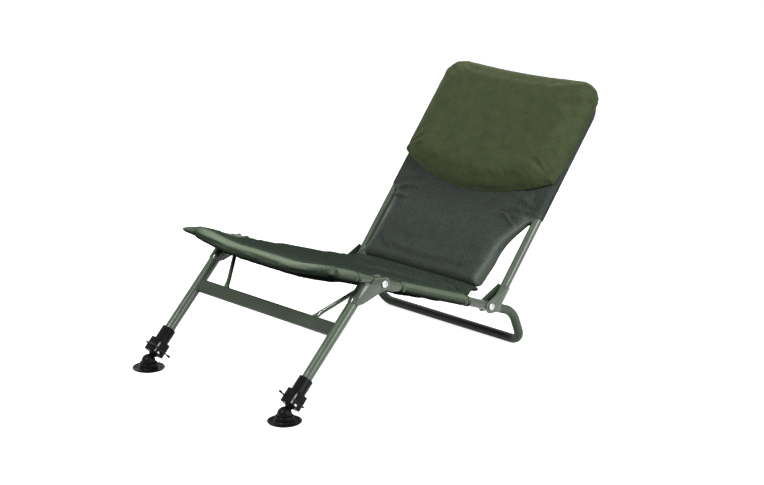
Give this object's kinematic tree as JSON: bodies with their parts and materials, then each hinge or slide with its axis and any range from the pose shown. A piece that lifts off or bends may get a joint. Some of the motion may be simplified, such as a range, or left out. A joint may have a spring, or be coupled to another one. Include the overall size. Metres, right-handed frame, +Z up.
{
  "type": "folding chair",
  "caption": "Low reclined fishing chair: tubular seat frame on a rear ground bow, folding front legs with telescopic mud feet, folding padded backrest with a fleece head cushion.",
  "frame": {"origin": "on the ground, in the middle of the chair's width and of its overall length", "axes": "+X to the right as seen from the front, +Y from the front feet to the back, +Z up"},
  "size_m": [0.562, 1.075, 0.6079],
  "materials": {
    "frame_paint": "satin grey-green stove enamel",
    "crossbar_paint": "matt olive green stove enamel",
    "bright_steel": "bright zinc plate",
    "black_plastic": "fine grained black moulding",
    "nylon": "plain-woven coated nylon, dark grey-green",
    "fleece": "short-pile fleece, olive green"
  },
  "bodies": {
    "frame": {"rail_right": "frame_paint", "rail_left": "frame_paint", "saddle_right": "frame_paint", "saddle_left": "frame_paint", "front_bow": "frame_paint", "ground_bow": "frame_paint", "front_pivot_bolt_right": "bright_steel", "front_pivot_bolt_left": "bright_steel", "front_pivot_nut_right": "bright_steel", "front_pivot_nut_left": "bright_steel", "rear_pivot_bolt_right": "bright_steel", "rear_pivot_bolt_left": "bright_steel", "rear_pivot_nut_right": "bright_steel", "rear_pivot_nut_left": "bright_steel", "front_sleeve_right": "nylon", "front_sleeve_left": "nylon", "rear_sleeve_right": "nylon", "rear_sleeve_left": "nylon", "seat_panel": "nylon", "seat_hem": "nylon", "crease_cloth": "nylon"},
    "legs": {"leg_tube_right": "frame_paint", "leg_tube_left": "frame_paint", "leg_bracket_right": "frame_paint", "leg_bracket_left": "frame_paint", "strut_right": "frame_paint", "strut_left": "frame_paint", "crossbar": "crossbar_paint", "lock_housing_right": "black_plastic", "lock_housing_left": "black_plastic"},
    "leg_insert_right": {"inner_leg_right": "bright_steel"},
    "leg_insert_left": {"inner_leg_left": "bright_steel"},
    "clip_right": {"lock_clip_right": "bright_steel"},
    "clip_left": {"lock_clip_left": "bright_steel"},
    "ball_right": {"ankle_ball_right": "black_plastic"},
    "ball_left": {"ankle_ball_left": "black_plastic"},
    "foot_right": {"mud_foot_right": "black_plastic"},
    "foot_left": {"mud_foot_left": "black_plastic"},
    "backrest": {"back_tube_right": "frame_paint", "back_tube_left": "frame_paint", "rear_bracket_right": "frame_paint", "rear_bracket_left": "frame_paint", "top_bow": "frame_paint", "back_sleeve_right": "nylon", "back_sleeve_left": "nylon", "back_panel": "nylon", "head_cushion": "fleece", "cushion_cover": "nylon"}
  },
  "joints": [
    {"name": "leg_fold", "type": "hinge", "parent": "frame", "child": "legs", "pos_m": [0, -0.21603, 0.25547], "axis": [1, 0, 0], "range_deg": [0, 110]},
    {"name": "back_fold", "type": "hinge", "parent": "frame", "child": "backrest", "pos_m": [0, 0.13273, 0.1275], "axis": [1, 0, 0], "range_deg": [0, 94], "deforming": ["crease_cloth"]},
    {"name": "leg_extend_right", "type": "slide", "parent": "legs", "child": "leg_insert_right", "axis": [0, -0.7031, -0.711], "range_m": [0, 0.08]},
    {"name": "leg_extend_left", "type": "slide", "parent": "legs", "child": "leg_insert_left", "axis": [0, -0.7031, -0.711], "range_m": [0, 0.08]},
    {"name": "clip_release_right", "type": "slide", "parent": "legs", "child": "clip_right", "axis": [0, 0.711, -0.7031], "range_m": [0, 0.006], "stiffness_N_per_m": 400, "springref_m": -0.003},
    {"name": "clip_release_left", "type": "slide", "parent": "legs", "child": "clip_left", "axis": [0, -0.711, 0.7031], "range_m": [0, 0.006], "stiffness_N_per_m": 400, "springref_m": -0.003},
    {"name": "ankle_tilt_right", "type": "hinge", "parent": "leg_insert_right", "child": "ball_right", "pos_m": [0.243, -0.49947, 0.0182], "axis": [1, 0, 0], "range_deg": [-20, 20]},
    {"name": "ankle_tilt_left", "type": "hinge", "parent": "leg_insert_left", "child": "ball_left", "pos_m": [-0.243, -0.49947, 0.0182], "axis": [1, 0, 0], "range_deg": [-20, 20]},
    {"name": "ankle_sway_right", "type": "hinge", "parent": "ball_right", "child": "foot_right", "pos_m": [0.243, -0.49947, 0.0182], "axis": [0, 1, 0], "range_deg": [-15, 15]},
    {"name": "ankle_sway_left", "type": "hinge", "parent": "ball_left", "child": "foot_left", "pos_m": [-0.243, -0.49947, 0.0182], "axis": [0, 1, 0], "range_deg": [-15, 15]}
  ]
}
